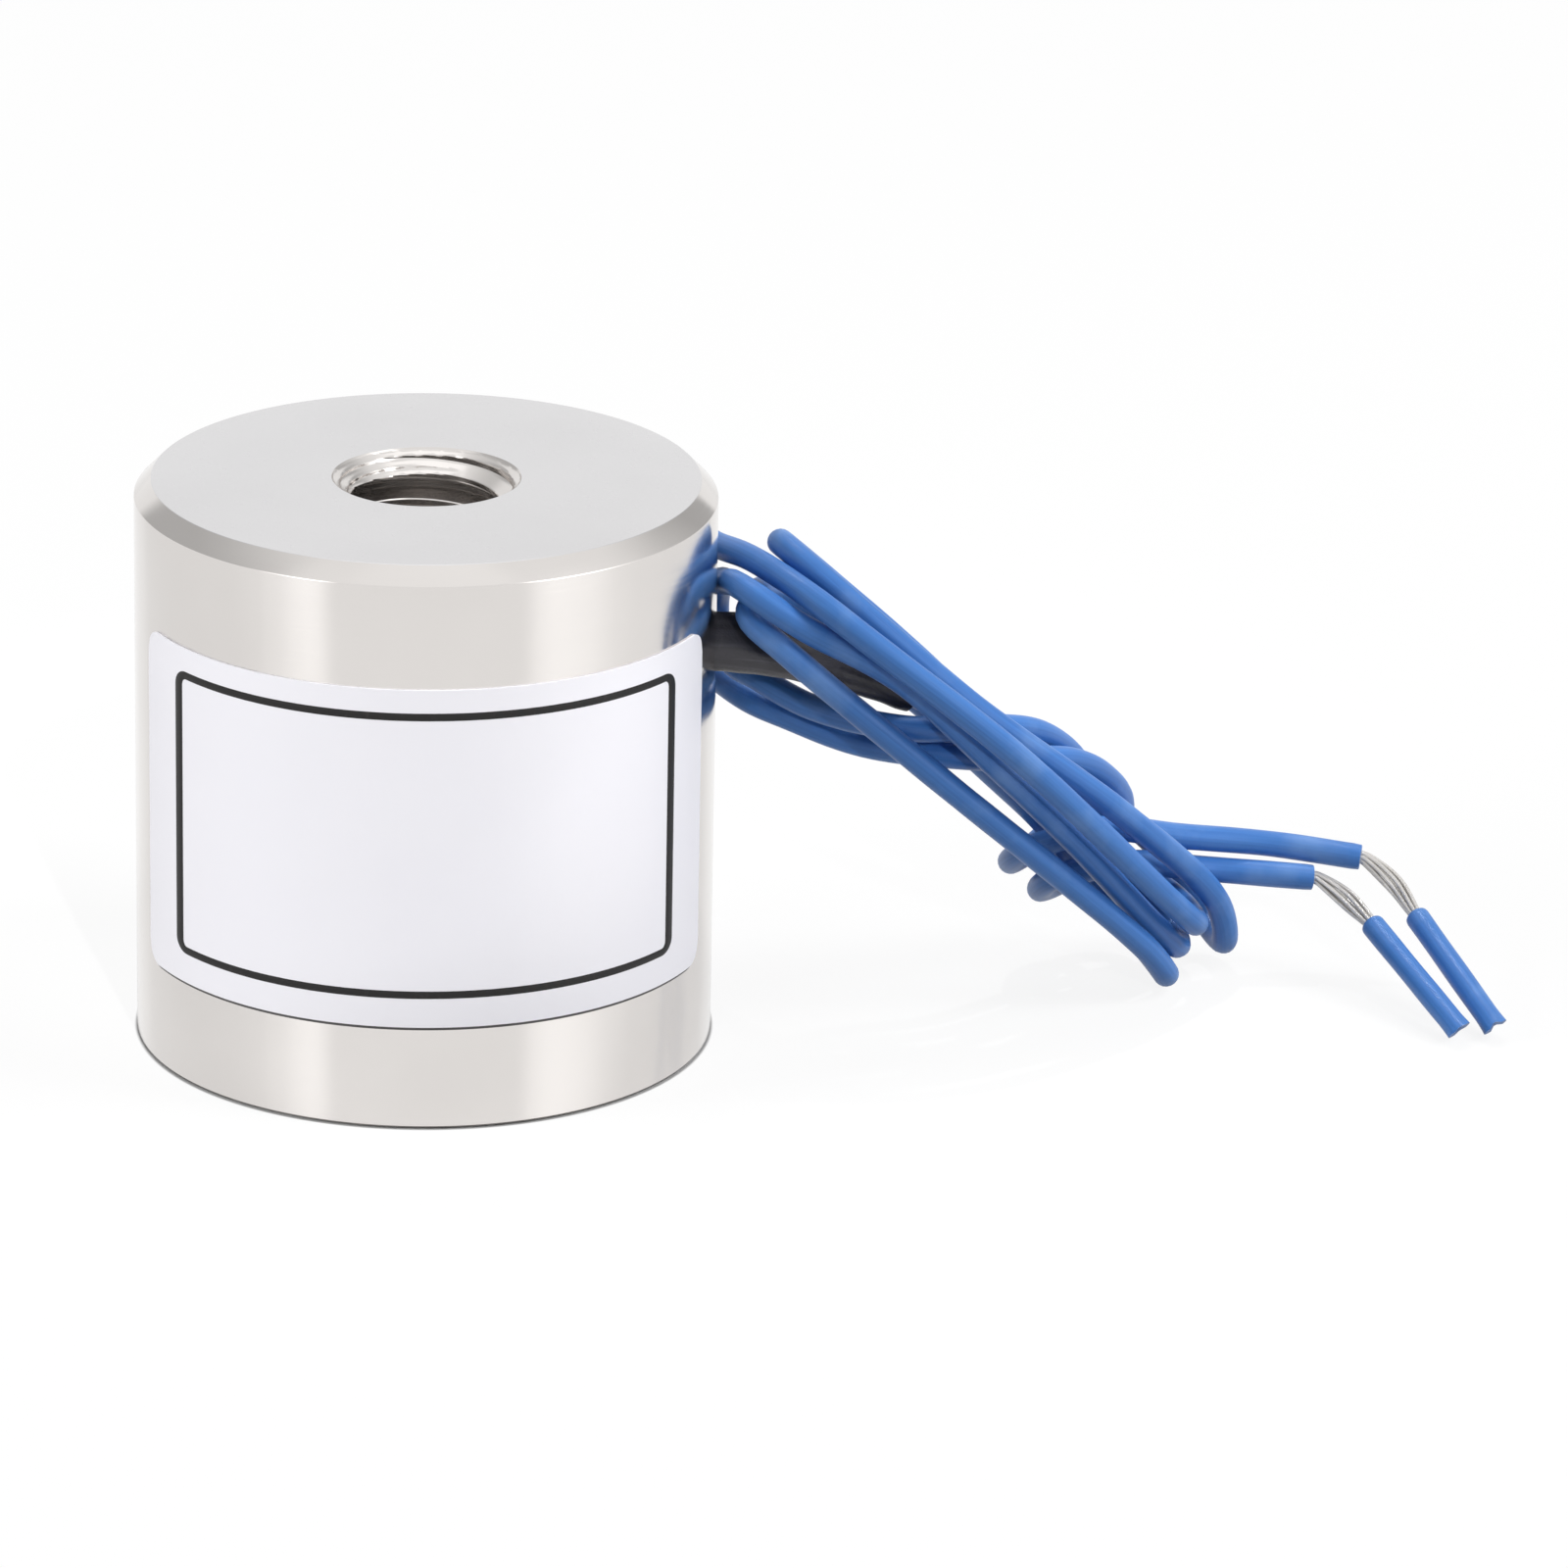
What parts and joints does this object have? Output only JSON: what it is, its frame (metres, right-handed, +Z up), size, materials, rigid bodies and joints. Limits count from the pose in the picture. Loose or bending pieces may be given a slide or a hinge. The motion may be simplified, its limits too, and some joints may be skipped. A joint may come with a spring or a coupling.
{
  "type": "holding electromagnet",
  "caption": "Round plated holding electromagnet with a threaded mounting hole in the back, a flat pole face, a blank label and flying leads in a tied hank.",
  "frame": {"origin": "centre of the flat pole face, on the axis", "axes": "+Z up the axis to the threaded mounting face, -Y towards the label, +X where the leads leave"},
  "size_m": [0.0478, 0.0201, 0.02],
  "materials": {
    "plated_steel": "bright nickel plate over turned steel, satin ends",
    "nylon": "moulded",
    "enamelled_copper": "enamelled",
    "polyester_tape": "smooth film",
    "tinned_copper": "tinned",
    "black_sleeve": "matt heat-shrink",
    "epoxy": "cast",
    "blue_insulation": "extruded, satin",
    "label_film": "printed film, satin"
  },
  "bodies": {
    "root": {"pot_body": "plated_steel", "bobbin": "nylon", "coil_winding": "enamelled_copper", "coil_tape": "polyester_tape", "coil_start_wire": "enamelled_copper", "coil_finish_wire": "enamelled_copper", "splice_a": "tinned_copper", "splice_b": "tinned_copper", "splice_sleeve_a": "black_sleeve", "splice_sleeve_b": "black_sleeve", "potting_ring": "epoxy", "lead_bead": "epoxy", "lead_sleeve": "black_sleeve", "lead_a": "blue_insulation", "lead_b": "blue_insulation", "bare_strands_a": "tinned_copper", "bare_strands_b": "tinned_copper", "insulation_slug_a": "blue_insulation", "insulation_slug_b": "blue_insulation", "label": "label_film"}
  },
  "joints": []
}
